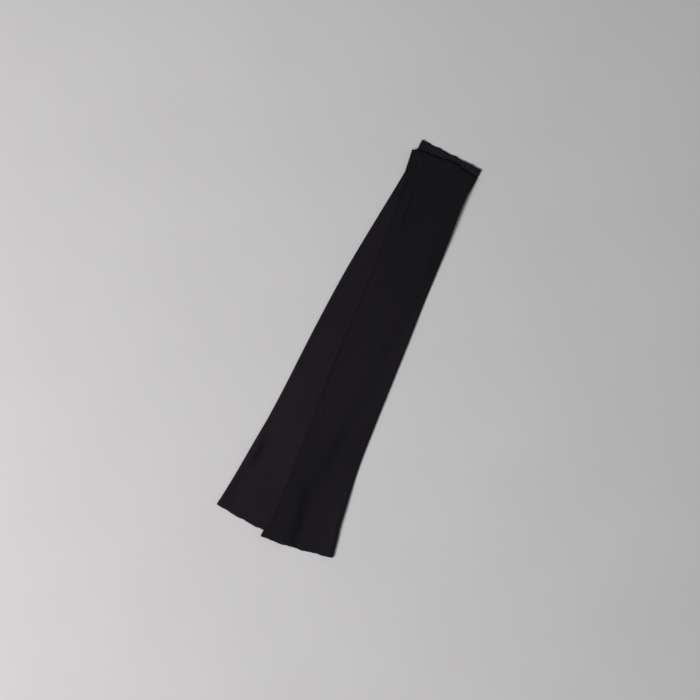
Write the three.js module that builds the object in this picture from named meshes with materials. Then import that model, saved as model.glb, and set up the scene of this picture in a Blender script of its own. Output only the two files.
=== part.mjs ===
// A pair of long black leg warmers laid flat on a level surface, the upper one askew over the lower one.
// Each is one knitted tube with a narrow turned hem at both ends, pressed flat so that its two layers lie on
// each other. The upper tube rests on the lower one and steps down to the surface beyond its edges.
// Units are millimetres. +Z is up, +Y runs towards the top hems, and the pair rests on the plane z = 0.
import * as THREE from "three";

// Cloth
const WALL = 1.2; // one layer of knit
const LAYER_GAP = 1.0; // air between the two layers of a flattened tube
const PRESSED = { share: 0.5, reach: 45 }; // share of that air left at a hem, and how far in that reaches
const FOLD_RADIUS = 1.5; // bend of the middle of the wall where a tube folds over at its side
const CREASE_REACH = 13; // the side fold stands proud of the flat cloth over this width
const HOLLOW = { at: 8.5, half: 4.5 }; // a hollow runs along the inside of a side fold, this far in
const COLOUR = 0x1b1a1d;

// Hems
const HEM = 12; // depth of the turned hem
const HEM_PUFF = 0.25; // a turned hem is this much thicker on the outside
const HEM_GROOVE = { depth: 0.2, half: 2 }; // the line that the hem's stitching pulls in
const HEM_EASE = 70; // a hem's slant and curve fade out over this length of tube
const LIP = { depth: 0.8, half: 0.36 }; // the very edge of a hem is thinned to round it
const LAYERS_APART = 1.3; // the top layer's hem sits this far inside the bottom layer's

// Where the upper tube rests on the lower one
const REST_GAP = 0.4;
const HOLD = 7; // the upper tube stays level this far on both sides of the lower one's edge
const STEP_DOWN = 13; // width of the slope where it then comes down to the surface
const STEP_DOWN_SOFT = 11; // how much wider that slope is halfway along

// How each leg warmer lies. Its own y runs along the tube from the bottom hem, and its own x runs across it.
// middle and turn (degrees) place it. A section row gives the flat tube's outer edges at a distance along it.
// A hem gives how far its right corner lies beyond its left (slant), its curve outwards between the corners
// (bulge), and the height and pitch of its waves. A fold row is a soft ridge (height above 0) or hollow
// (below 0) in the top layer, from one end to the other, that fades out over its width to each side.
// A hollow row gives the depth of the hollows beside the left and the right side fold at a distance along.
const LOWER = {
  name: "lower_leg_warmer",
  length: 629,
  middle: { x: -18.55, y: 5.1 },
  turn: -3.94,
  sections: [
    { at: 0, left: -56.4, right: 56.4 },
    { at: 30, left: -54.6, right: 50.5 },
    { at: 60, left: -53.4, right: 43.0 },
    { at: 100, left: -52.8, right: 39.8 },
    { at: 150, left: -51.4, right: 41.0 },
    { at: 200, left: -52.0, right: 41.0 },
    { at: 300, left: -55.2, right: 38.6 },
    { at: 400, left: -56.0, right: 38.6 },
    { at: 500, left: -52.4, right: 43.8 },
    { at: 560, left: -49.8, right: 48.6 },
    { at: 600, left: -49.4, right: 50.8 },
    { at: 629, left: -49.8, right: 49.9 },
  ],
  bottomHem: { slant: 1.8, bulge: 2.2, wave: 0.5, pitch: 31 },
  topHem: { slant: 2.6, bulge: 0.4, wave: 0.5, pitch: 25 },
  folds: [
    { from: { x: -35, y: 94 }, to: { x: -30, y: 118 }, width: 15, height: -0.8 },
    { from: { x: -45, y: 56 }, to: { x: -44, y: 80 }, width: 10, height: 0.7 },
    { from: { x: -44, y: 28 }, to: { x: -41, y: 48 }, width: 13, height: -0.45 },
    { from: { x: -24, y: 70 }, to: { x: -16, y: 190 }, width: 26, height: 0.5 },
    { from: { x: 6, y: 34 }, to: { x: 3, y: 58 }, width: 14, height: -0.35 },
    { from: { x: -34, y: 230 }, to: { x: -40, y: 330 }, width: 20, height: -0.3 },
  ],
  hollows: [
    { at: 0, left: 0.2, right: 0.3 },
    { at: 60, left: 0.5, right: 0.3 },
    { at: 130, left: 0.3, right: 0.3 },
    { at: 260, left: 0.5, right: 0.3 },
    { at: 420, left: 0.25, right: 0.3 },
    { at: 629, left: 0.2, right: 0.3 },
  ],
};
const UPPER = {
  name: "upper_leg_warmer",
  length: 615.4,
  middle: { x: 18.95, y: -6.1 },
  turn: 3.94,
  sections: [
    { at: 0, left: -56.9, right: 56.8 },
    { at: 25, left: -53.6, right: 55.3 },
    { at: 50, left: -51.2, right: 52.3 },
    { at: 75, left: -50.2, right: 49.5 },
    { at: 100, left: -50.0, right: 47.0 },
    { at: 150, left: -50.3, right: 43.9 },
    { at: 200, left: -50.8, right: 44.0 },
    { at: 300, left: -51.6, right: 45.6 },
    { at: 350, left: -50.4, right: 46.5 },
    { at: 400, left: -48.2, right: 46.8 },
    { at: 450, left: -46.6, right: 48.2 },
    { at: 500, left: -46.6, right: 50.0 },
    { at: 550, left: -48.1, right: 50.9 },
    { at: 600, left: -51.2, right: 52.0 },
    { at: 615.4, left: -51.9, right: 52.1 },
  ],
  bottomHem: { slant: 8.0, bulge: 2.6, wave: 0.6, pitch: 37 },
  topHem: { slant: -6.0, bulge: 6.2, wave: 1.1, pitch: 52 },
  folds: [
    { from: { x: -4, y: -2 }, to: { x: -14, y: 84 }, width: 17, height: -0.5 },
    { from: { x: -27, y: 6 }, to: { x: -31, y: 80 }, width: 20, height: 1.1 },
    { from: { x: 40, y: 0 }, to: { x: 36, y: 90 }, width: 28, height: 1.0 },
    { from: { x: 41, y: 160 }, to: { x: 42, y: 390 }, width: 20, height: 0.7 },
    { from: { x: -28.5, y: 505 }, to: { x: -28, y: 558 }, width: 7, height: 0.9 },
    { from: { x: -29, y: 590 }, to: { x: -29, y: 610 }, width: 9, height: 0.5 },
    { from: { x: -34, y: 613 }, to: { x: 12, y: 617 }, width: 14, height: 0.8 },
    { from: { x: -21.5, y: 500 }, to: { x: -21, y: 560 }, width: 9, height: -0.45 },
    { from: { x: 6, y: 130 }, to: { x: -2, y: 300 }, width: 22, height: -0.35 },
    { from: { x: 22, y: 330 }, to: { x: 12, y: 470 }, width: 24, height: -0.35 },
  ],
  hollows: [
    { at: 0, left: 0.25, right: 0.35 },
    { at: 90, left: 0.4, right: 0.2 },
    { at: 160, left: 0.55, right: 0.4 },
    { at: 260, left: 0.5, right: 0.5 },
    { at: 330, left: 0.8, right: 0.35 },
    { at: 440, left: 0.8, right: 0.2 },
    { at: 490, left: 0.35, right: 0.4 },
    { at: 615.4, left: 0.2, right: 0.25 },
  ],
};

// Rings of points: their distances from each hem, and the longest step between those in the middle.
const HEM_RINGS = [0, LIP.depth, 5, HEM - HEM_GROOVE.half, HEM, HEM + HEM_GROOVE.half, 22, 32, 44, 58];
const MIDDLE_STEP = 25;
// Points of a ring in the top and the bottom layer: distances in from each side, and steps between them.
const TOP = { stops: [4.5, HOLLOW.at, CREASE_REACH, 19], steps: 10 };
const BOTTOM = { stops: [8, 18], steps: 6 };

const clamp01 = (x) => Math.min(1, Math.max(0, x));
const ease = (x) => clamp01(x) ** 2 * (3 - 2 * clamp01(x)); // 0 up to 0, 1 from 1 on
const bump = (x) => (1 - Math.min(1, x * x)) ** 2; // 1 at 0, 0 from 1 on

// The value of a column at a distance along the tube, on a smooth curve through the rows.
function valueAt(rows, side, at) {
  const last = rows.length - 1;
  const place = Math.min(Math.max(at, rows[0].at), rows[last].at);
  const i = Math.min(rows.findLastIndex((row) => row.at <= place), last - 1);
  const slope = (k) => {
    const before = rows[Math.max(k - 1, 0)];
    const after = rows[Math.min(k + 1, last)];
    return (after[side] - before[side]) / (after.at - before.at);
  };
  const step = rows[i + 1].at - rows[i].at;
  const t = (place - rows[i].at) / step;
  return (
    rows[i][side] * (1 + 2 * t) * (1 - t) ** 2 +
    rows[i + 1][side] * t * t * (3 - 2 * t) +
    step * (slope(i) * t * (1 - t) ** 2 - slope(i + 1) * t * t * (1 - t))
  );
}

// How far a hem reaches out at x, where share runs from -1 at the left corner to 1 at the right one.
function hemReach(hem, x, share) {
  const waves = hem.wave * Math.sin((2 * Math.PI * x) / hem.pitch) * (1 - share ** 4);
  return hem.bulge * (1 - share * share) + waves;
}

// The place along the tube of a point of the ring at distance `at`, bent to the shapes of the hems.
function along(tube, at, x, share) {
  const nearBottom = 1 - ease(at / HEM_EASE);
  const nearTop = 1 - ease((tube.length - at) / HEM_EASE);
  return (
    at +
    nearBottom * ((tube.bottomHem.slant / 2) * share - hemReach(tube.bottomHem, x, share)) +
    nearTop * ((tube.topHem.slant / 2) * share + hemReach(tube.topHem, x, share))
  );
}

// Height that the top layer gains or loses at a point through the soft folds of the cloth.
function foldHeight(tube, x, y) {
  return tube.folds.reduce((sum, { from, to, width, height }) => {
    const run = { x: to.x - from.x, y: to.y - from.y };
    const length = Math.hypot(run.x, run.y);
    const forward = ((x - from.x) * run.x + (y - from.y) * run.y) / length;
    const aside = ((x - from.x) * run.y - (y - from.y) * run.x) / length;
    const beyond = Math.max(0, -forward, forward - length);
    return sum + height * bump(Math.hypot(aside, beyond) / width);
  }, 0);
}

// Distance between the middles of the two layers, at distances in from the nearer side and the nearer hem.
function layerSpread(inward, fromHem) {
  const flat = WALL + LAYER_GAP * (PRESSED.share + (1 - PRESSED.share) * ease(fromHem / PRESSED.reach));
  return flat + (2 * FOLD_RADIUS - flat) * (1 - ease((inward - FOLD_RADIUS) / (CREASE_REACH - FOLD_RADIUS)));
}

// What the turned hem adds to the outside of the wall, and its stitching takes away.
function hemRelief(fromHem) {
  const puff = HEM_PUFF * ease(fromHem / 3) * (1 - ease((fromHem - HEM + 3) / 3));
  return puff - HEM_GROOVE.depth * bump((fromHem - HEM) / HEM_GROOVE.half);
}

// Places across a layer, from left to right: its stops at both sides, and even steps between them.
function placesAcross(half, { stops, steps }) {
  const side = stops.map((stop) => half - stop);
  const inner = side[side.length - 1];
  const middle = Array.from({ length: steps - 1 }, (_, i) => ((i + 1) * 2 * inner) / steps - inner);
  return [...side.map((x) => -x), ...middle, ...side.reverse()];
}

// One ring around a flattened tube, from its left side over the top: the wall's middle and its way out.
function ring(tube, at) {
  const left = valueAt(tube.sections, "left", at) + WALL / 2;
  const right = valueAt(tube.sections, "right", at) - WALL / 2;
  const centre = (left + right) / 2;
  const half = (right - left) / 2;
  const folded = (side, quarters) => {
    const angle = (quarters * Math.PI) / 2;
    return {
      x: side * (half - FOLD_RADIUS + FOLD_RADIUS * Math.cos(angle)),
      z: WALL / 2 + FOLD_RADIUS * (1 + Math.sin(angle)),
      out: { x: side * Math.cos(angle), z: Math.sin(angle) },
      top: quarters === 1,
    };
  };
  const fromHem = Math.min(at, tube.length - at);
  const topLayer = (x) => {
    const inward = half - Math.abs(x);
    const depth = valueAt(tube.hollows, x < 0 ? "left" : "right", at);
    const spread = layerSpread(inward, fromHem) - depth * bump((inward - HOLLOW.at) / HOLLOW.half);
    return { x, z: WALL / 2 + spread, out: { x: 0, z: 1 }, top: true };
  };
  const bottomLayer = (x) => ({ x, z: WALL / 2, out: { x: 0, z: -1 }, top: false });
  return [
    ...[0, 0.5, 1].map((quarters) => folded(-1, quarters)),
    ...placesAcross(half, TOP).map(topLayer),
    ...[1, 0.5, 0, -0.5, -1].map((quarters) => folded(1, quarters)),
    ...placesAcross(half, BOTTOM).reverse().map(bottomLayer),
    ...[-1, -0.5].map((quarters) => folded(-1, quarters)),
  ].map((point) => ({ ...point, x: centre + point.x, share: point.x / half }));
}

// The distances along a tube at which it has a ring.
function ringPlaces(tube) {
  const hemZone = HEM_RINGS[HEM_RINGS.length - 1];
  const room = tube.length - 2 * hemZone;
  const steps = Math.ceil(room / MIDDLE_STEP);
  const middle = Array.from({ length: steps - 1 }, (_, i) => hemZone + (room * (i + 1)) / steps);
  return [...HEM_RINGS, ...middle, ...HEM_RINGS.map((place) => tube.length - place).reverse()];
}

// From a tube's own plan into the pair's plan, and back.
function toPair(tube, x, y) {
  const turn = THREE.MathUtils.degToRad(tube.turn);
  const ahead = y - tube.length / 2;
  return {
    x: tube.middle.x + x * Math.cos(turn) - ahead * Math.sin(turn),
    y: tube.middle.y + x * Math.sin(turn) + ahead * Math.cos(turn),
  };
}
function fromPair(tube, place) {
  const turn = THREE.MathUtils.degToRad(tube.turn);
  const dx = place.x - tube.middle.x;
  const dy = place.y - tube.middle.y;
  return {
    x: dx * Math.cos(turn) + dy * Math.sin(turn),
    y: dy * Math.cos(turn) - dx * Math.sin(turn) + tube.length / 2,
  };
}

// Height at which cloth rests over the lower tube: on its top layer, and down to the surface past its edges.
function heightOverLower(place) {
  const { x, y } = fromPair(LOWER, place);
  const left = valueAt(LOWER.sections, "left", y);
  const right = valueAt(LOWER.sections, "right", y);
  const share = THREE.MathUtils.clamp((2 * (x - left)) / (right - left) - 1, -1, 1);
  const fromSide = Math.min(x - left, right - x);
  const fromHem = Math.min(y - along(LOWER, 0, x, share), along(LOWER, LOWER.length, x, share) - y);
  const sideSlope = STEP_DOWN + STEP_DOWN_SOFT * Math.sin(Math.PI * clamp01(y / LOWER.length));
  const folds = Math.max(0, foldHeight(LOWER, x, y));
  const spread = layerSpread(Math.max(FOLD_RADIUS, fromSide - HOLD), Math.max(0, fromHem));
  const height = WALL + spread + HEM_PUFF + folds + REST_GAP;
  return height * ease(1 + (fromSide + HOLD) / sideSlope) * ease(1 + (fromHem + HOLD) / STEP_DOWN);
}

// The outside and inside of a tube's wall, ring after ring, lying on a surface whose height is given.
function wallSkins(tube, surface) {
  const skins = { outside: [], inside: [] };
  for (const at of ringPlaces(tube)) {
    const fromHem = Math.min(at, tube.length - at);
    const inset = LAYERS_APART * (1 - ease(fromHem / HEM_EASE)) * (at < tube.length / 2 ? 1 : -1);
    const half = fromHem < LIP.depth ? LIP.half : WALL / 2;
    for (const { x, z, out, top, share } of ring(tube, at)) {
      const y = along(tube, at, x, share) + (top ? inset * (1 - share ** 8) : 0);
      const base = z + surface(toPair(tube, x, y)) + (top ? foldHeight(tube, x, y) : 0);
      const moved = (by) => {
        const place = toPair(tube, x + out.x * by, y);
        return [place.x, place.y, base + out.z * by];
      };
      skins.outside.push(moved(half + (top ? hemRelief(fromHem) : 0)));
      skins.inside.push(moved(-half));
    }
  }
  return skins;
}

// Triangles of the two skins of an open tube, joined into one closed wall around both ends.
function wallFaces(rings, around) {
  const index = [];
  const quad = (a, b, c, d) => index.push(a, b, c, a, c, d);
  const inner = rings * around;
  for (let i = 0; i < rings; i++)
    for (let j = 0; j < around; j++) {
      const a = i * around + j;
      const b = i * around + ((j + 1) % around);
      if (i === 0) quad(a, inner + a, inner + b, b);
      if (i === rings - 1) quad(a, b, inner + b, inner + a);
      else {
        quad(a, b, b + around, a + around);
        quad(inner + a, inner + a + around, inner + b + around, inner + b);
      }
    }
  return index;
}

function legWarmer(tube, surface) {
  const { outside, inside } = wallSkins(tube, surface);
  const rings = ringPlaces(tube).length;
  const geometry = new THREE.BufferGeometry();
  geometry.setAttribute("position", new THREE.Float32BufferAttribute([...outside, ...inside].flat(), 3));
  geometry.setIndex(wallFaces(rings, outside.length / rings));
  geometry.computeVertexNormals();
  const knit = new THREE.MeshStandardMaterial({ color: COLOUR, roughness: 0.95, metalness: 0 });
  const mesh = new THREE.Mesh(geometry, knit);
  mesh.name = tube.name;
  return mesh;
}

const flatSurface = () => 0;
const pair = new THREE.Group();
pair.add(legWarmer(LOWER, flatSurface), legWarmer(UPPER, heightOverLower));

export default pair;
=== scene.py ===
# Two long black leg warmers in a fine knit, laid flat on a pale floor, one askew over the other.
# They are seen from straight above, in soft light from the left of the picture and a little from below.
import math
from collections import namedtuple
from functools import partial

import bpy
import numpy as np
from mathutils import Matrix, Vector, noise


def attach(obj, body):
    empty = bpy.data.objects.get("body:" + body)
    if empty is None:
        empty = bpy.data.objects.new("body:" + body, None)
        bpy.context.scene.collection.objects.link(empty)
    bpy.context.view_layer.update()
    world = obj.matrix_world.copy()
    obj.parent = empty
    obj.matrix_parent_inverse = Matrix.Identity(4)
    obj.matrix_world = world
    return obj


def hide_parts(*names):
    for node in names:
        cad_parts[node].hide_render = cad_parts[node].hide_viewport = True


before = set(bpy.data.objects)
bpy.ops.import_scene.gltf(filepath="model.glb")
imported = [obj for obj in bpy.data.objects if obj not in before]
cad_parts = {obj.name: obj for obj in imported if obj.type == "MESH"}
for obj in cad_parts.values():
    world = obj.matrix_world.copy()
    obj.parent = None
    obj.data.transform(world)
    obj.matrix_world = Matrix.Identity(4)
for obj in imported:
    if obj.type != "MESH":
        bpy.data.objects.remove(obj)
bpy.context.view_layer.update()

# The cloth's sizes are in millimetres, as a cutter writes them, and MM turns them into metres.
MM = 0.001

# Cloth
WALL = 1.2  # one layer of knit
LAYER_GAP = 1.0  # air between the two layers of a flattened tube
CLOSEST = 0.12  # least air between them, where the top layer is hollow or the bottom one dented
UNEVEN = 0.12  # height of the soft lumps all over the top layer
LUMPS = ((9, 42, 1.0), (4, 15, 0.5))  # their size across and along the tube, and their share of the height

# Side folds, where the tube is pressed flat
TIGHTEST_BEND = 0.65  # radius of the bend at a side's outermost line
FOLD_REACH = 13  # a side fold stands proud of the flat cloth over this width
SHORTEST_FALL = 8.5  # least width of the slope beside it, where the fold is puffy
HOLLOW_AT = 8.5  # a hollow runs along the inside of a side fold, this far in
HOLLOW_HALF = 4.5

# Hems
HEM = 12  # depth of the turned hem
HEM_PUFF = 0.25  # a turned hem is this much thicker on the outside
PUFF_SLOPE = 3  # and rises to that over this width
GROOVE_DEPTH = 0.25  # the line that the hem's stitching pulls in
GROOVE_HALF = 1.6
HEM_EASE = 70  # a hem's slant and curve fade out over this length of tube
LIP = ((0.0, 0.28), (0.25, 0.52), (0.7, 0.76), (1.3, 0.92), (2.2, 1.0))  # distance in, share of the wall
PRESSED = 0.5  # share of the air between the layers that is left at a hem
PRESSED_REACH = 45
LAYERS_APART = 1.3  # the top layer's hem sits this far inside the bottom layer's
FLUSH = 0.8  # share of that distance that closes up towards the right corner
FRILL = 0.3  # fine waves of a hem's edge, in the plane of the cloth
FRILL_LIFT = 0.5  # and out of it
FRILL_REACH = 16  # both fade out over this length of tube
FRILL_MAIN = 0.7  # share of their height in main waves; the rest is in finer ones
FRILL_FINER = 0.61  # pitch of the finer waves, as a share of the main ones' pitch
FRILL_SHIFT = 2.1  # the top hem's waves are this much further on than the bottom hem's, in radians

# Where the upper tube rests on the lower one
REST_GAP = 0.32
HOLD = 7  # the upper tube stays level this far inside the lower one's edge
HOLD_PAST = 5.5  # and this far past it
HOLD_AT_HEM = 4.0  # it stays level this much further out at the bottom hem, where the cloth is doubled
STEP_DOWN = 15  # width of the slope where it then comes down to the surface
STEP_DOWN_SOFT = 9  # how much wider that slope is halfway along

# How each leg warmer lies. Its own y runs along the tube from the bottom hem, and its own x runs across it.
# Sections: distance along, left edge, right edge.
# Hems: how far the right corner lies beyond the left, the curve outwards, and the waves' height and pitch.
# Folds: from x, y to x, y, width to each side, height of a ridge or, below 0, of a hollow in the top layer.
# Creases: finer ridges and hollows in the same form. Dents: the same for the bottom layer, upwards.
# Sides: distance along, half the height of the left and the right side fold, depth of the hollow beside each.
# Painted light and shade: patches of the top layer painted paler, as painted light on slopes that face the
# lamp; below 0, painted darker, as painted shade of dimples and slopes turned away from it. A row has the
# patch's place from the middle line and from the bottom hem, its reach across and along, and strength.
LOWER = {
    "length": 628,
    "middle": (-18.58, 4.6),
    "turn": -3.94,
    "sections": [
        (0, -56.4, 56.4),
        (30, -54.6, 50.5),
        (60, -53.4, 43),
        (100, -52.8, 39.8),
        (150, -51.4, 41),
        (200, -52, 41),
        (300, -55.2, 38.6),
        (400, -56, 38.6),
        (500, -52.4, 43.8),
        (560, -49.8, 48.6),
        (600, -49.4, 50.8),
        (628, -49.8, 49.9),
    ],
    "bottom_hem": (1.8, 2.2, 0.5, 31),
    "top_hem": (2.6, 0.4, 0.5, 25),
    "frill_pitch": 14.5,
    "folds": [
        (-35, 94, -30, 118, 15, -0.8),
        (-45, 56, -44, 80, 10, 0.7),
        (-44, 28, -41, 48, 13, -0.45),
        (-24, 70, -16, 190, 26, 0.5),
        (6, 34, 3, 58, 14, -0.35),
        (-34, 230, -40, 330, 20, -0.3),
    ],
    "creases": [
        (-44, 80, -43, 116, 16, 1.5),
        (-48, 8, -48, 62, 10, 0.6),
        (-39, 92, -37, 114, 5, -0.4),
        (-43, 52, -40, 22, 5, -0.4),
        (-39, 236, -20, 237, 2.4, -0.35),
        (5, 47, 12, 40, 3.5, -0.45),
        (-13, 128, -9, 121, 2.4, -0.35),
        (-50, 168, -46, 182, 2.6, -0.4),
        (-30, 452, -36, 470, 2.8, -0.35),
        (12, 300, 22, 330, 3, -0.4),
        (30, 520, 38, 552, 3.4, -0.4),
        (-8, 560, 2, 590, 3, -0.35),
        (34, 625, 48, 625, 6, 0.8),
    ],
    "dents": [
        (-22, 90, -14, 128, 9, 0.4),
        (18, 150, 24, 205, 8, 0.35),
        (-30, 250, -22, 262, 7, 0.4),
        (4, 300, -6, 372, 10, 0.35),
        (22, 420, 28, 436, 7, 0.4),
        (-18, 470, -24, 530, 9, 0.35),
        (26, 552, 12, 558, 6, 0.3),
    ],
    "sides": [
        (0, 1.1, 1.1, 0.2, 0.3),
        (60, 1.45, 1.3, 0.3, 0.3),
        (98, 2.5, 1.3, 0.3, 0.3),
        (136, 1.3, 1.3, 0.3, 0.3),
        (260, 1.45, 1.3, 0.5, 0.3),
        (420, 1.2, 1.3, 0.25, 0.3),
        (628, 1.1, 1.1, 0.2, 0.3),
    ],
    "painted_light_and_shade": [
        (0, 190, 500, 150, 0.45),
        (0, 640, 500, 60, 0.55),
        (-37, 98, 13, 34, -0.5),
    ],
    "seed": 3.0,
}
UPPER = {
    "length": 615.4,
    "middle": (18.95, -6.1),
    "turn": 3.94,
    "sections": [
        (0, -57.4, 55.6),
        (25, -54, 53),
        (50, -51.2, 49.8),
        (75, -50.2, 48.2),
        (100, -50, 46.2),
        (150, -50.3, 43.7),
        (200, -50.8, 43.9),
        (300, -51.6, 45.6),
        (350, -50.4, 46.5),
        (400, -48.2, 46.8),
        (450, -46.6, 48.2),
        (500, -46.6, 49.2),
        (550, -48.1, 49),
        (580, -50.1, 49.9),
        (600, -51.2, 51.6),
        (615.4, -51.9, 52.6),
    ],
    "bottom_hem": (8.0, 2.6, 0.6, 37),
    "top_hem": (-6.0, 6.2, 1.1, 52),
    "frill_pitch": 16.0,
    "folds": [
        (-4, -2, -14, 84, 17, -0.5),
        (-27, 6, -31, 80, 20, 1.1),
        (40, 0, 36, 90, 28, 1),
        (41, 160, 42, 390, 20, 0.7),
        (-28.5, 505, -28, 558, 7, 0.9),
        (-29, 590, -29, 610, 9, 0.5),
        (-34, 613, 12, 617, 14, 0.8),
        (-21.5, 500, -21, 560, 9, -0.45),
        (6, 130, -2, 300, 22, -0.35),
        (22, 330, 12, 470, 24, -0.35),
    ],
    "creases": [
        (-19, 0, -28, 76, 20, 1.1),
        (-40, 4, -44, 70, 14, 0.35),
        (49, 2, 44, 104, 22, 1.3),
        (-44.6, 150, -45, 62, 2, -0.95),
        (-45, 62, -45.6, 8, 2, -0.8),
        (-38.5, 42, -37.5, 12, 1.8, -0.5),
        (-43.4, 300, -43, 226, 3.6, -0.6),
        (-41, 226, -31, 202, 2.4, -0.5),
        (-50, 366, -49.6, 298, 2.6, 0.55),
        (-49.6, 298, -48, 232, 2.6, 0.3),
        (-37, 440, -36, 366, 9, -0.5),
        (-46.4, 502, -43, 488, 2.2, 0.45),
        (-42, 552, -42, 530, 6, -0.4),
        (-33.5, 563, -29.6, 542, 2.8, 0.8),
        (-29.6, 542, -30.2, 514, 2.8, 0.8),
        (-24, 558, -24, 540, 4, -0.4),
        (-34, 609, -27, 590, 3.6, 0.7),
        (33, 470, 36, 500, 3.2, -0.4),
        (-6, 2, -8, 22, 5, -0.3),
        (26, 616, 50, 608, 12, -0.5),
        (-34, 616, -25, 617, 7, -0.8),
        (-16, 619, -15, 614, 7, 0.4),
        (-4, 619, 1, 618, 6.5, -0.9),
        (12, 619, 12, 614, 7, 0.7),
    ],
    "dents": [
        (20, 70, 26, 120, 9, 0.4),
        (-26, 140, -20, 152, 7, 0.35),
        (2, 190, 8, 262, 10, 0.35),
        (-20, 300, -30, 345, 8, 0.4),
        (28, 360, 16, 372, 7, 0.35),
        (-6, 440, -14, 500, 9, 0.35),
        (24, 520, 30, 566, 8, 0.35),
    ],
    "sides": [
        (0, 0.95, 1.6, 0.25, 0.35),
        (45, 0.95, 2.1, 0.2, 0.3),
        (100, 0.95, 1.6, 0.2, 0.2),
        (160, 1.0, 1.35, 0.3, 0.4),
        (260, 1.1, 1.4, 0.5, 0.5),
        (330, 1.5, 1.35, 0.8, 0.35),
        (440, 1.15, 1.2, 0.6, 0.2),
        (490, 1.15, 1.2, 0.35, 0.4),
        (615.4, 1.0, 0.95, 0.2, 0.25),
    ],
    "painted_light_and_shade": [
        (0, 310, 500, 150, 0.6),
        (33, 60, 26, 110, 0.4),
        (-32, 50, 30, 80, -0.35),
        (-9, 30, 12, 60, -0.3),
    ],
    "seed": 11.0,
}

# Fineness of the meshes
ROW_STEP = 1.95  # between rings along the outside
INNER_STEP = 14.0  # and along the inside
TOP_COLUMNS = 112
BOTTOM_COLUMNS = 88
ARC_STEPS = 8  # round each side fold

# Knit
MIDDLE_LINE = 46.5  # in the knit's map, distance from the left side fold to the middle of the top layer
MAP_FOLD = 1.5  # radius of the side folds in that map
WALE = 1.55  # width of a column of stitches
COURSE = 1.15  # height of a row
STITCH_SLANT = 0.55  # how much of a row each half of a stitch climbs
STITCH_ROUND = (0.6, 0.7)  # powers that fill a stitch out, across and along
RELIEF = 0.32  # depth of the stitches, and how strongly it shows
RELIEF_STRENGTH = 0.55
FIBRE = (2200, 3)  # fineness and detail of the stray fibres
FIBRE_HEIGHT = 0.35  # as a share of a stitch's
KNIT_ROUGHNESS = 0.92
KNIT_GLOSS = 0.12
NAP = 0.035  # sheen of the soft nap
NAP_ROUGHNESS = 0.55
YARN_PALE = (0.0152, 0.0130, 0.0178)
YARN_DARK = (0.0082, 0.0067, 0.0100)
STITCH_GAP_SHADE = (0.0038, 0.0031, 0.0047)  # painted shade in the gaps between the stitches
YARN_SHOWS = 0.85  # share of the yarn's own colour at the top of a stitch; lower down the painted shade takes over
STREAKS = (30, 4.5, 30)  # fineness of the worn streaks, which are long along the tube
STREAK_DETAIL = 3
STREAK_STRENGTH = 1.3
PAINTED_SHADE_UP = 0.8  # painted shade: how much darker the yarn gets for each metre along the tube
LOWER_SHADE = 1.38  # the lower tube is paler than the upper one
UPPER_SHADE = 1.0

# Thread
STITCH_PITCH = 3.1
STITCH_LENGTH = 2.3
STITCH_THICK = 0.34
STITCH_PROUD = 0.06  # how far a stitch's middle lies outside the groove
THREAD = ((0.0042, 0.0038, 0.005), (0.0085, 0.0078, 0.0095))  # its darkest and its palest tint
THREAD_MOTTLE = (3000, 2)
THREAD_ROUGHNESS = 0.7
THREAD_GLOSS = 0.25

# Floor, in metres
FLOOR_HALF = 15.0
FLOOR_DROP = 0.0002  # the cloth rests this far above it
FLOOR_TINTS = ((0.56, 0.552, 0.556), (0.64, 0.632, 0.634))
FLOOR_CLOUDS = (6.0, 4)  # fineness and detail of the faint mottling
FLOOR_GRAIN = (260.0, 2)
CLOUD_SHARE = 0.6  # of the mottling, against the grain
FLOOR_ROUGHNESS = 0.9
FLOOR_GLOSS = 0.2

# The picture: 700 pixels wide, 1.5 mm a pixel on the floor, turned so that the pair leans to the right
PIXEL = 0.0015
PICTURE = 700
PICTURE_TURN = 24.88
PART_AT_PIXEL = (360.66, 346.36)  # where the part's origin shows
LENS = 85.0
SENSOR = 36.0

# Light, in metres to the right and up in the picture from the part's origin, and above the floor
WINDOW_RIGHT = -1.98
WINDOW_UP = -0.76
WINDOW_HEIGHT = 2.45
WINDOW_SIZE = 1.4
WINDOW_POWER = 94.0
WINDOW_COLOUR = (1.0, 0.985, 0.975)
ROOM_COLOUR = (0.96, 0.97, 1.0)
ROOM_STRENGTH = 0.23

Ring = namedtuple("Ring", "level angle top side")
Plan = namedtuple("Plan", "x y share inward from_hem waves rise bend hollow")


def ease(x):
    """0 up to 0, 1 from 1 on, smooth between."""
    x = np.clip(x, 0, 1)
    return x * x * (3 - 2 * x)


def bump(x):
    """1 at 0, 0 from 1 on, smooth between."""
    return (1 - np.minimum(1, x * x)) ** 2


def value_at(table, column, at):
    """The values of a column at distances along the tube, on a smooth curve through the table's rows."""
    rows = np.array(table, dtype=float)
    place, value = rows[:, 0], rows[:, column]
    before = np.maximum(np.arange(len(rows)) - 1, 0)
    after = np.minimum(np.arange(len(rows)) + 1, len(rows) - 1)
    slope = (value[after] - value[before]) / (place[after] - place[before])
    at = np.clip(at, place[0], place[-1])
    i = np.clip(np.searchsorted(place, at, side="right") - 1, 0, len(rows) - 2)
    step = place[i + 1] - place[i]
    t = (at - place[i]) / step
    ends = value[i] * (1 + 2 * t) * (1 - t) ** 2 + value[i + 1] * t * t * (3 - 2 * t)
    return ends + step * (slope[i] * t * (1 - t) ** 2 - slope[i + 1] * t * t * (1 - t))


def hem_reach(tube, hem, x, share):
    """How far a hem reaches out at x, where share runs from -1 at the left corner to 1 at the right one."""
    _, bulge, wave, pitch = tube[hem]
    waves = wave * np.sin(2 * np.pi * x / pitch) * (1 - share**4)
    return bulge * (1 - share * share) + waves


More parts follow.
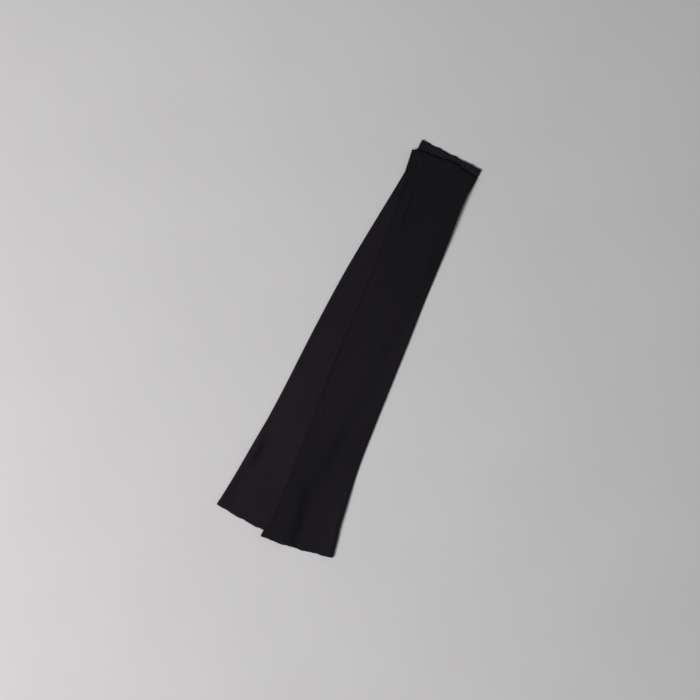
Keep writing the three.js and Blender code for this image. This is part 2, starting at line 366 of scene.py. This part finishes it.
def along(tube, at, x, share):
    """The place along the tube of a point of the ring at distance at, bent to the shapes of the hems."""
    near_bottom = 1 - ease(at / HEM_EASE)
    near_top = 1 - ease((tube["length"] - at) / HEM_EASE)
    bottom = tube["bottom_hem"][0] / 2 * share - hem_reach(tube, "bottom_hem", x, share)
    top = tube["top_hem"][0] / 2 * share + hem_reach(tube, "top_hem", x, share)
    return at + near_bottom * bottom + near_top * top


def frill(tube, at, x):
    """The fine waves of the hems' edges, from -1 to 1, fading out away from the hems."""
    from_hem = np.minimum(at, tube["length"] - at)
    phase = np.where(at < tube["length"] / 2, 0.0, FRILL_SHIFT) + tube["seed"]
    turns = 2 * np.pi * x / tube["frill_pitch"]
    main = FRILL_MAIN * np.sin(turns + phase)
    finer = (1 - FRILL_MAIN) * np.sin(turns / FRILL_FINER + 2 * phase)
    return (main + finer) * (1 - ease(from_hem / FRILL_REACH))


def fold_height(folds, x, y):
    """Height that a layer gains or loses at a point through folds, creases or dents of the cloth."""
    total = np.zeros(np.broadcast(x, y).shape)
    for x0, y0, x1, y1, width, height in folds:
        length = math.hypot(x1 - x0, y1 - y0)
        forward = ((x - x0) * (x1 - x0) + (y - y0) * (y1 - y0)) / length
        aside = ((x - x0) * (y1 - y0) - (y - y0) * (x1 - x0)) / length
        beyond = np.maximum(0, np.maximum(-forward, forward - length))
        total = total + height * bump(np.hypot(aside, beyond) / width)
    return total


def bend_of(rise):
    """How far in the bend of a side fold reaches, when the fold is twice this high."""
    return rise * rise / TIGHTEST_BEND


def layer_spread(inward, from_hem, rise):
    """Distance between the middles of the two layers, at distances in from the nearer side and hem.

    Rise is half the height of that side's fold."""
    flat = WALL + LAYER_GAP * (PRESSED + (1 - PRESSED) * ease(from_hem / PRESSED_REACH))
    fall = np.maximum(FOLD_REACH - bend_of(rise), SHORTEST_FALL)
    return flat + (2 * rise - flat) * (1 - ease((inward - bend_of(rise)) / fall))


def hem_relief(from_hem, in_top):
    """What the turned hem adds to the outside of the top layer, and what its stitching takes away."""
    puff = HEM_PUFF * ease(from_hem / PUFF_SLOPE) * (1 - ease((from_hem - HEM) / PUFF_SLOPE + 1))
    return puff * in_top - GROOVE_DEPTH * bump((from_hem - HEM) / GROOVE_HALF)


def to_pair(tube, x, y):
    """From a tube's own plan into the pair's plan."""
    turn = math.radians(tube["turn"])
    ahead = y - tube["length"] / 2
    return (
        tube["middle"][0] + x * math.cos(turn) - ahead * math.sin(turn),
        tube["middle"][1] + x * math.sin(turn) + ahead * math.cos(turn),
    )


def from_pair(tube, px, py):
    """From the pair's plan into a tube's own plan."""
    turn = math.radians(tube["turn"])
    dx, dy = px - tube["middle"][0], py - tube["middle"][1]
    return (
        dx * math.cos(turn) + dy * math.sin(turn),
        dy * math.cos(turn) - dx * math.sin(turn) + tube["length"] / 2,
    )


def level(px, py):
    return np.zeros(np.shape(px))


def height_over_lower(px, py):
    """Height at which cloth rests over the lower tube and, past its edges, comes down to the surface."""
    x, y = from_pair(LOWER, px, py)
    left = value_at(LOWER["sections"], 1, y)
    right = value_at(LOWER["sections"], 2, y)
    share = np.clip(2 * (x - left) / (right - left) - 1, -1, 1)
    from_side = np.minimum(x - left, right - x)
    from_bottom = y - along(LOWER, 0.0, x, share)
    from_top = along(LOWER, float(LOWER["length"]), x, share) - y
    from_hem = np.minimum(from_bottom, from_top)

    rise = np.where(share < 0, value_at(LOWER["sides"], 1, y), value_at(LOWER["sides"], 2, y))
    spread = layer_spread(from_side - HOLD, np.maximum(from_hem, 0), rise)
    ridges = np.maximum(0, fold_height(LOWER["folds"], x, y))
    frilled = FRILL_LIFT * (1 - ease(from_hem / FRILL_REACH))
    height = WALL + spread + HEM_PUFF + ridges + frilled + REST_GAP

    side_slope = STEP_DOWN + STEP_DOWN_SOFT * np.sin(np.pi * np.clip(y / LOWER["length"], 0, 1))
    side_hold = HOLD_PAST + HOLD_AT_HEM * (1 - ease(y / HEM_EASE))
    past_side = ease(1 + (from_side + side_hold) / side_slope)
    past_hem = ease(1 + (from_hem + HOLD_PAST) / STEP_DOWN)
    return height * past_side * past_hem


def unevenness(tube, x, y):
    """Small soft lumps of a knit that lies loosely, longer along the tube than across it."""
    lumps = list(zip(LUMPS, (tube["seed"], -tube["seed"])))
    values = [
        sum(share * noise.noise(Vector((a / wide, b / long, seed))) for (wide, long, share), seed in lumps)
        for a, b in zip(np.ravel(x), np.ravel(y))
    ]
    return np.array(values).reshape(np.shape(x))


def ring_columns():
    """The points round a ring, over the top layer from left to right and back underneath.

    Level is a point's share of the half width between the side folds' bends. Angle is the way the outside
    faces there, half pi straight up. Side is -1 or 1 in a side fold's bend, and 0 in a layer."""
    over = np.linspace(-1, 1, TOP_COLUMNS)
    under = np.linspace(1, -1, BOTTOM_COLUMNS)
    arc = math.pi * (0.5 - np.arange(1, ARC_STEPS + 1) / (ARC_STEPS + 1))
    ones = np.ones(ARC_STEPS)
    up = np.full(TOP_COLUMNS, math.pi / 2)
    down = np.full(BOTTOM_COLUMNS, -math.pi / 2)
    level_share = np.concatenate([over, ones, under, -ones])
    angle = np.concatenate([up, arc, down, arc[::-1]])
    side = np.concatenate([0 * over, ones, 0 * under, -ones])
    return Ring(level_share, angle, angle > 0, side)


def ring_plan(tube, at, ring):
    """The middle of the wall in the tube's own plan, for rings at distances along it, and its sizes there."""
    left = value_at(tube["sections"], 1, at) + WALL / 2
    right = value_at(tube["sections"], 2, at) - WALL / 2
    half = (right - left) / 2
    on_left = (ring.level < 0) | (ring.side < 0)
    rise = np.where(on_left, value_at(tube["sides"], 1, at), value_at(tube["sides"], 2, at))
    hollow = np.where(on_left, value_at(tube["sides"], 3, at), value_at(tube["sides"], 4, at))
    bend = bend_of(rise)
    aside = ring.level * (half - bend) + ring.side * bend * np.cos(ring.angle)
    share = aside / half
    x = (left + right) / 2 + aside

    from_hem = np.minimum(at, tube["length"] - at)
    outward = np.where(at < tube["length"] / 2, -1.0, 1.0)
    inset = LAYERS_APART * (1 - ease(from_hem / HEM_EASE)) * (1 - share**8) * (1 - FLUSH * ease(2 * share))
    waves = frill(tube, at, x)
    reach = FRILL * waves * (1 - share**6) - np.where(ring.top, inset, 0)
    y = along(tube, at, x, share) + outward * reach
    return Plan(x, y, share, half - np.abs(aside), from_hem, waves, rise, bend, hollow)


def ring_height(tube, plan, ring):
    """Height of the middle of the wall over what the tube lies on."""
    in_top = 0.5 + 0.5 * np.sin(ring.angle)
    spread = layer_spread(plan.inward, plan.from_hem, plan.rise)
    spread = spread - plan.hollow * bump((plan.inward - HOLLOW_AT) / HOLLOW_HALF)
    frilled = FRILL_LIFT * (0.5 + 0.5 * plan.waves) * (1 - ease(plan.from_hem / FRILL_REACH))
    lift = fold_height(tube["folds"], plan.x, plan.y) + fold_height(tube["creases"], plan.x, plan.y)
    lift = lift + frilled * (1 - plan.share**6)
    over = np.maximum(spread + lift, WALL + CLOSEST)
    under = np.minimum(fold_height(tube["dents"], plan.x, plan.y), over - WALL - CLOSEST)
    bent = 2 * plan.rise * in_top + lift * in_top**2
    return WALL / 2 + np.where(ring.side != 0, bent, np.where(ring.top, over, under))


def half_wall(tube, plan, ring, outer):
    """How far a skin of the wall lies outwards from its middle. The wall thins to the hems' lips."""
    lip_place, lip_share = zip(*LIP)
    wall = WALL / 2 * np.interp(plan.from_hem, lip_place, lip_share)
    if not outer:
        return -wall * np.ones(np.shape(plan.x))
    in_top = 0.5 + 0.5 * np.sin(ring.angle)
    return wall + hem_relief(plan.from_hem, in_top) + UNEVEN * in_top * unevenness(tube, plan.x, plan.y)


def wall_skin(tube, surface, places, outer):
    """One skin of a tube's wall as a grid of points, one row for each place along the tube."""
    ring = ring_columns()
    at = np.array(places, dtype=float)[:, None]
    plan = ring_plan(tube, at, ring)
    z = ring_height(tube, plan, ring) + surface(*to_pair(tube, plan.x, plan.y))
    out_x = ring.side * plan.rise * np.cos(ring.angle)
    out_z = np.where(ring.side != 0, plan.bend, 1) * np.sin(ring.angle)
    by = half_wall(tube, plan, ring, outer) / np.hypot(out_x, out_z)
    px, py = to_pair(tube, plan.x + out_x * by, plan.y)
    return np.stack([px, py, np.maximum(z + out_z * by, 0)], axis=-1)


def places_along(tube, step):
    """Distances along a tube: fine at the lips of the hems, and even steps between."""
    lip = [place for place, _ in LIP]
    room = tube["length"] - 2 * lip[-1]
    count = math.ceil(room / step)
    middle = [lip[-1] + room * (i + 1) / count for i in range(count - 1)]
    return lip + middle + [tube["length"] - place for place in reversed(lip)]


def mesh_object(name, points, faces, uvs, material):
    """A smooth object from points in millimetres, with a pair of map values for each corner of each face."""
    mesh = bpy.data.meshes.new(name)
    mesh.from_pydata((np.array(points) * MM).tolist(), [], faces)
    mesh.polygons.foreach_set("use_smooth", [True] * len(mesh.polygons))
    layer = mesh.uv_layers.new(name="knit")
    layer.data.foreach_set("uv", np.array(uvs, dtype=float).ravel())
    mesh.materials.append(material)
    mesh.update()
    piece = bpy.data.objects.new(name, mesh)
    bpy.context.scene.collection.objects.link(piece)
    return piece


def grid_faces(rows, columns, first, flip):
    """Quads of a grid that closes round on itself, and the row and column of each corner of each quad."""
    faces, corners = [], []
    for i in range(rows - 1):
        for j in range(columns):
            k = (j + 1) % columns
            quad = [(i, j, j), (i, k, j + 1), (i + 1, k, j + 1), (i + 1, j, j)]
            if flip:
                quad.reverse()
            faces.append([first + r * columns + c for r, c, _ in quad])
            corners.append([(r, c) for r, _, c in quad])
    return faces, corners


def round_distances():
    """Distance round the tube at each column, with the full way round as the last value."""
    ring = ring_columns()
    across = ring.level * MIDDLE_LINE + ring.side * MAP_FOLD * np.cos(ring.angle)
    points = np.stack([across, MAP_FOLD * np.sin(ring.angle)], axis=1)
    steps = np.linalg.norm(np.roll(points, -1, axis=0) - points, axis=1)
    return np.concatenate([[0], np.cumsum(steps)])


def leg_warmer(tube, surface, material, name):
    """One leg warmer: a thin closed wall with an outside and an inside, joined round both hems."""
    outer_places = places_along(tube, ROW_STEP)
    inner_places = places_along(tube, INNER_STEP)
    outer = wall_skin(tube, surface, outer_places, True)
    inner = wall_skin(tube, surface, inner_places, False)
    columns = outer.shape[1]
    first_inner = len(outer_places) * columns
    around = round_distances() * MM
    faces, uvs = [], []
    for places, first, flip in ((outer_places, 0, False), (inner_places, first_inner, True)):
        quads, corners = grid_faces(len(places), columns, first, flip)
        faces += quads
        for corner in corners:
            uvs += [(around[c], places[r] * MM) for r, c in corner]
    last_outer = first_inner - columns
    last_inner = first_inner + (len(inner_places) - 1) * columns
    for j in range(columns):
        k = (j + 1) % columns
        bottom_lip = [j, first_inner + j, first_inner + k, k]
        top_lip = [last_outer + j, last_outer + k, last_inner + k, last_inner + j]
        faces += [bottom_lip, top_lip]
        uvs += [(around[j], 0.0)] * 4 + [(around[j], tube["length"] * MM)] * 4
    points = np.concatenate([outer.reshape(-1, 3), inner.reshape(-1, 3)])
    return mesh_object(name, points, faces, uvs, material), outer, outer_places


def stitch_shape():
    """A short thread lying along x: a six-sided spindle with rounded ends, in unit size."""
    rings = ((-1.0, 0.25), (-0.8, 0.8), (0.0, 1.0), (0.8, 0.8), (1.0, 0.25))
    sides = 6
    turns = [2 * math.pi * s / sides for s in range(sides)]
    points = [
        (0.5 * length, 0.5 * wide * math.cos(turn), 0.5 * wide * math.sin(turn))
        for length, wide in rings
        for turn in turns
    ]
    faces = []
    for r in range(len(rings) - 1):
        here, after = r * sides, (r + 1) * sides
        for s in range(sides):
            beside = (s + 1) % sides
            faces.append([here + s, after + s, after + beside, here + beside])
    faces.append(list(reversed(range(sides))))
    faces.append([(len(rings) - 1) * sides + s for s in range(sides)])
    return np.array(points), faces


def stitches_on(row, lengthwise):
    """Each stitch round a ring: its middle, and the directions along it, beside it and outwards."""
    closed = np.concatenate([row, row[:1]])
    run = np.concatenate([[0], np.cumsum(np.linalg.norm(np.diff(closed, axis=0), axis=1))])
    count = round(run[-1] / STITCH_PITCH)
    for n in range(count):
        middle = (n + 0.5) * run[-1] / count
        start, end = (
            np.array([np.interp(middle + d, run, closed[:, axis]) for axis in range(3)])
            for d in (-STITCH_LENGTH / 2, STITCH_LENGTH / 2)
        )
        way = (end - start) / np.linalg.norm(end - start)
        out = np.cross(way, lengthwise)
        out /= np.linalg.norm(out)
        yield (start + end) / 2, way, np.cross(out, way), out


def hem_stitches(tube, skin, places, material, name):
    """The stitching of both hems: a row of short threads all round, sunk a little into the hem's groove."""
    shape, shape_faces = stitch_shape()
    shape = shape * (STITCH_LENGTH, STITCH_THICK, STITCH_THICK)
    turn = math.radians(tube["turn"])
    lengthwise = np.array([-math.sin(turn), math.cos(turn), 0.0])
    points, faces = [], []
    for place in (HEM, tube["length"] - HEM):
        row = skin[int(np.argmin(np.abs(np.array(places) - place)))]
        for middle, way, beside, out in stitches_on(row, lengthwise):
            faces += [[len(points) + i for i in face] for face in shape_faces]
            points += list(middle + out * STITCH_PROUD + shape @ np.array([way, beside, out]))
    points = np.array(points)
    points[:, 2] = np.maximum(points[:, 2], 0)
    uvs = [(0.0, 0.0)] * sum(len(face) for face in faces)
    return mesh_object(name, points, faces, uvs, material)


def value_node(tree, operation, a, b=None):
    """A maths node whose inputs are sockets or numbers."""
    node = tree.nodes.new("ShaderNodeMath")
    node.operation = operation
    for socket, value in zip(node.inputs, (a, b)):
        if value is None:
            continue
        if isinstance(value, (int, float)):
            socket.default_value = value
        else:
            tree.links.new(value, socket)
    return node.outputs[0]


def noise_node(tree, vector, fineness, detail):
    node = tree.nodes.new("ShaderNodeTexNoise")
    node.inputs["Scale"].default_value = fineness
    node.inputs["Detail"].default_value = detail
    tree.links.new(vector, node.inputs["Vector"])
    return node.outputs["Fac"]


def mix_colours(tree, factor, first, second):
    node = tree.nodes.new("ShaderNodeMix")
    node.data_type = "RGBA"
    tree.links.new(factor, node.inputs["Factor"])
    for socket, value in ((node.inputs["A"], first), (node.inputs["B"], second)):
        if isinstance(value, tuple):
            socket.default_value = (*value, 1.0)
        else:
            tree.links.new(value, socket)
    return node.outputs["Result"]


def new_material(name, roughness, gloss):
    """A material with its nodes, its shader, and the place on the object to make patterns from."""
    material = bpy.data.materials.new(name)
    material.use_nodes = True
    tree = material.node_tree
    shader = tree.nodes["Principled BSDF"]
    shader.inputs["Roughness"].default_value = roughness
    shader.inputs["Specular IOR Level"].default_value = gloss
    place = tree.nodes.new("ShaderNodeTexCoord").outputs["Object"]
    return material, tree, shader, place


def stitch_pattern(tree, across, up):
    """Height of the knit's outside, from 0 to 1: columns of stitches like small plaits."""
    do = partial(value_node, tree)
    half_wale = WALE * MM / 2
    leg = do("DIVIDE", do("PINGPONG", across, half_wale), half_wale)
    row = do("ADD", do("DIVIDE", up, COURSE * MM), do("MULTIPLY", leg, STITCH_SLANT))
    loop = do("SINE", do("MULTIPLY", do("FRACT", row), math.pi))
    ridge = do("SINE", do("MULTIPLY", leg, math.pi))
    return do("MULTIPLY", do("POWER", ridge, STITCH_ROUND[0]), do("POWER", loop, STITCH_ROUND[1]))


def paleness_with_painted_light(tree, place, across, up, patches):
    """How pale the yarn is, from 0 to 1: random streaks along the tube, painted shade that darkens it towards
    its top, and patches of painted light and shade.
    """
    do = partial(value_node, tree)
    stretch = tree.nodes.new("ShaderNodeMapping")
    stretch.inputs["Scale"].default_value = STREAKS
    tree.links.new(place, stretch.inputs["Vector"])
    streaks = noise_node(tree, stretch.outputs["Vector"], 1.0, STREAK_DETAIL)
    # Painted shade: the yarn darkens along the tube towards its top.
    streaks_and_painted_light = do("SUBTRACT", do("MULTIPLY", streaks, STREAK_STRENGTH), do("MULTIPLY", up, PAINTED_SHADE_UP))
    # Each patch adds painted light, and below 0 painted shade.
    for x, y, wide, long, strength in patches:
        aside = do("DIVIDE", do("SUBTRACT", across, (MIDDLE_LINE + x) * MM), wide * MM)
        ahead = do("DIVIDE", do("SUBTRACT", up, y * MM), long * MM)
        away = do("ADD", do("MULTIPLY", aside, aside), do("MULTIPLY", ahead, ahead))
        patch = do("MAXIMUM", do("SUBTRACT", 1.0, away), 0.0)
        streaks_and_painted_light = do("ADD", streaks_and_painted_light, do("MULTIPLY", patch, strength))
    return streaks_and_painted_light


def knit_material(name, shade, patches):
    """Matt black fine knit with a soft nap."""
    material, tree, shader, place = new_material(name, KNIT_ROUGHNESS, KNIT_GLOSS)
    shader.inputs["Sheen Weight"].default_value = NAP
    shader.inputs["Sheen Roughness"].default_value = NAP_ROUGHNESS
    uv = tree.nodes.new("ShaderNodeUVMap")
    uv.uv_map = "knit"
    split = tree.nodes.new("ShaderNodeSeparateXYZ")
    tree.links.new(uv.outputs["UV"], split.inputs["Vector"])
    across, up = split.outputs["X"], split.outputs["Y"]

    stitch = stitch_pattern(tree, across, up)
    fibre = value_node(tree, "MULTIPLY", noise_node(tree, place, *FIBRE), FIBRE_HEIGHT)
    height = value_node(tree, "ADD", stitch, fibre)
    relief = tree.nodes.new("ShaderNodeBump")
    relief.inputs["Strength"].default_value = RELIEF_STRENGTH
    relief.inputs["Distance"].default_value = RELIEF * MM
    tree.links.new(height, relief.inputs["Height"])
    tree.links.new(relief.outputs["Normal"], shader.inputs["Normal"])

    pale, dark, gap_shade = (tuple(shade * c for c in tint) for tint in (YARN_PALE, YARN_DARK, STITCH_GAP_SHADE))
    yarn = mix_colours(tree, paleness_with_painted_light(tree, place, across, up, patches), dark, pale)
    # Painted shade: the colour darkens towards the gaps between the stitches, where the stitch pattern is
    # low.
    colour = mix_colours(tree, value_node(tree, "MULTIPLY", stitch, YARN_SHOWS), gap_shade, yarn)
    tree.links.new(colour, shader.inputs["Base Color"])
    return material


def thread_material():
    """Black sewing thread, slightly glossier than the knit."""
    material, tree, shader, place = new_material("hem_thread", THREAD_ROUGHNESS, THREAD_GLOSS)
    colour = mix_colours(tree, noise_node(tree, place, *THREAD_MOTTLE), *THREAD)
    tree.links.new(colour, shader.inputs["Base Color"])
    return material


def floor_material():
    """Pale plain floor, with hardly any mottling."""
    material, tree, shader, place = new_material("pale_floor", FLOOR_ROUGHNESS, FLOOR_GLOSS)
    clouds = value_node(tree, "MULTIPLY", noise_node(tree, place, *FLOOR_CLOUDS), CLOUD_SHARE)
    grain = value_node(tree, "MULTIPLY", noise_node(tree, place, *FLOOR_GRAIN), 1 - CLOUD_SHARE)
    colour = mix_colours(tree, value_node(tree, "ADD", clouds, grain), *FLOOR_TINTS)
    tree.links.new(colour, shader.inputs["Base Color"])
    return material


def add_floor():
    h = FLOOR_HALF
    mesh = bpy.data.meshes.new("floor")
    mesh.from_pydata([(-h, -h, 0), (h, -h, 0), (h, h, 0), (-h, h, 0)], [], [(0, 1, 2, 3)])
    mesh.materials.append(floor_material())
    floor = bpy.data.objects.new("floor", mesh)
    floor.location.z = -FLOOR_DROP
    bpy.context.scene.collection.objects.link(floor)


def picture_to_floor(right, up):
    """From metres right and up in the picture, counted from the part's origin, to the floor."""
    turn = math.radians(PICTURE_TURN)
    return (
        right * math.cos(turn) - up * math.sin(turn),
        right * math.sin(turn) + up * math.cos(turn),
    )


def add_camera():
    right = (PICTURE / 2 - PART_AT_PIXEL[0]) * PIXEL
    up = (PART_AT_PIXEL[1] - PICTURE / 2) * PIXEL
    x, y = picture_to_floor(right, up)
    data = bpy.data.cameras.new("camera")
    data.lens = LENS
    data.sensor_width = SENSOR
    camera = bpy.data.objects.new("camera", data)
    camera.location = (x, y, PICTURE * PIXEL * LENS / SENSOR)
    camera.rotation_euler = (0, 0, math.radians(PICTURE_TURN))
    bpy.context.scene.collection.objects.link(camera)
    bpy.context.scene.camera = camera


def add_window():
    """A square soft light, aimed at the part."""
    data = bpy.data.lights.new("window", "AREA")
    data.size = WINDOW_SIZE
    data.energy = WINDOW_POWER
    data.color = WINDOW_COLOUR
    window = bpy.data.objects.new("window", data)
    place = Vector((*picture_to_floor(WINDOW_RIGHT, WINDOW_UP), WINDOW_HEIGHT))
    window.location = place
    window.rotation_euler = place.to_track_quat("Z", "Y").to_euler()
    bpy.context.scene.collection.objects.link(window)


def add_room_light():
    """Dim even light from all sides."""
    world = bpy.data.worlds.new("room")
    world.use_nodes = True
    background = world.node_tree.nodes["Background"]
    background.inputs["Color"].default_value = (*ROOM_COLOUR, 1.0)
    background.inputs["Strength"].default_value = ROOM_STRENGTH
    bpy.context.scene.world = world


def add_pair():
    """Both leg warmers, each with the stitching of its hems."""
    thread = thread_material()
    lower_yarn = knit_material("lower_knit", LOWER_SHADE, LOWER["painted_light_and_shade"])
    upper_yarn = knit_material("upper_knit", UPPER_SHADE, UPPER["painted_light_and_shade"])
    lower, lower_skin, lower_places = leg_warmer(LOWER, level, lower_yarn, "lower_knit")
    upper, upper_skin, upper_places = leg_warmer(UPPER, height_over_lower, upper_yarn, "upper_knit")
    lower_stitches = hem_stitches(LOWER, lower_skin, lower_places, thread, "lower_hem_stitches")
    upper_stitches = hem_stitches(UPPER, upper_skin, upper_places, thread, "upper_hem_stitches")
    for piece in (lower, upper, lower_stitches, upper_stitches):
        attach(piece, "root")
    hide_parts("lower_leg_warmer")
    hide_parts("upper_leg_warmer")


bpy.context.scene.view_settings.view_transform = "Standard"
add_camera()
add_window()
add_room_light()
add_floor()
add_pair()
